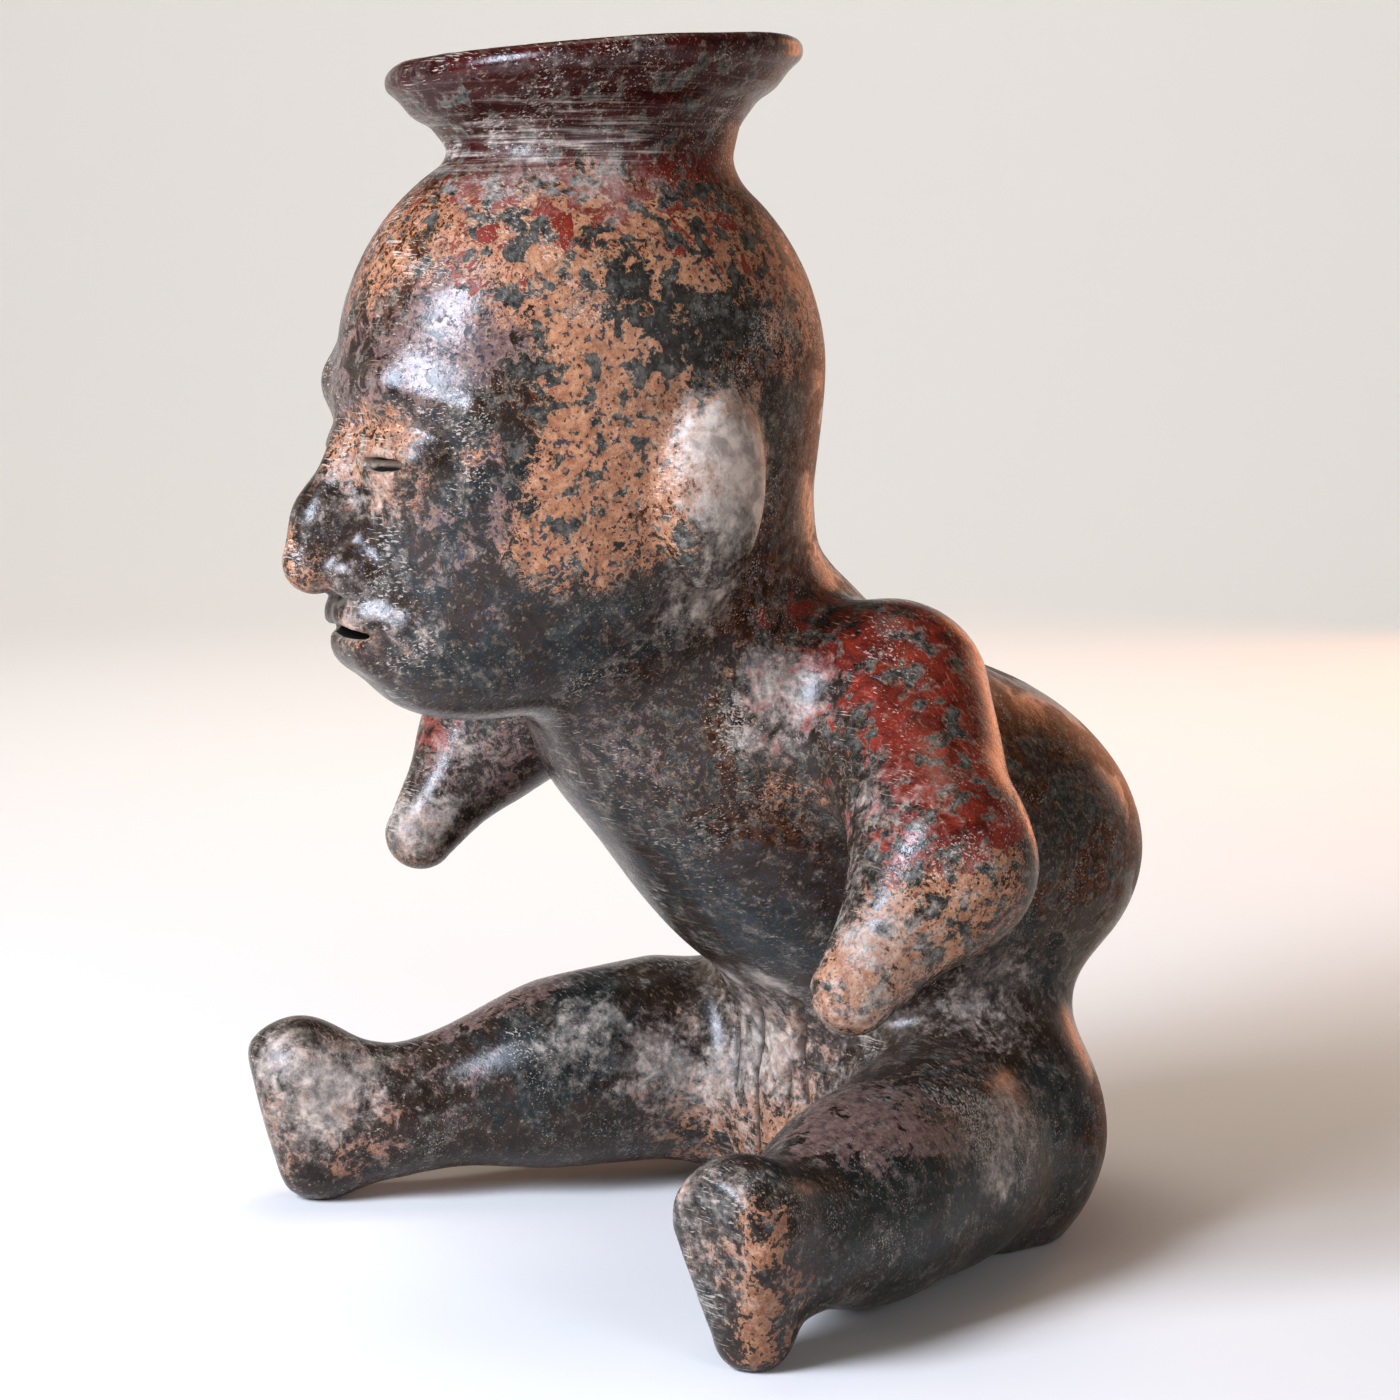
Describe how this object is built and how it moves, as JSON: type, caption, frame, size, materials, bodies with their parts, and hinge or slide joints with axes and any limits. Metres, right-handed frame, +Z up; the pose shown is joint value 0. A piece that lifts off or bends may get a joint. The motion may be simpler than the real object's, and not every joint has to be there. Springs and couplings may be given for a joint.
{
  "type": "seated figural vessel",
  "caption": "Hollow burnished-clay vessel in the form of a seated, forward-leaning figure, with a flared spout on the crown of the head.",
  "frame": {"origin": "middle of the box in plan, on the plane the figure sits on", "axes": "+Z up through the spout; the figure faces -Y with its left side towards +X"},
  "size_m": [0.2284, 0.238, 0.2994],
  "materials": {
    "burnished_clay": "red-slipped terracotta, burnished to a soft gloss, with black manganese spots, bare buff clay and pale mineral deposits"
  },
  "bodies": {
    "root": {"seated_figure_vessel": "burnished_clay"}
  },
  "joints": []
}
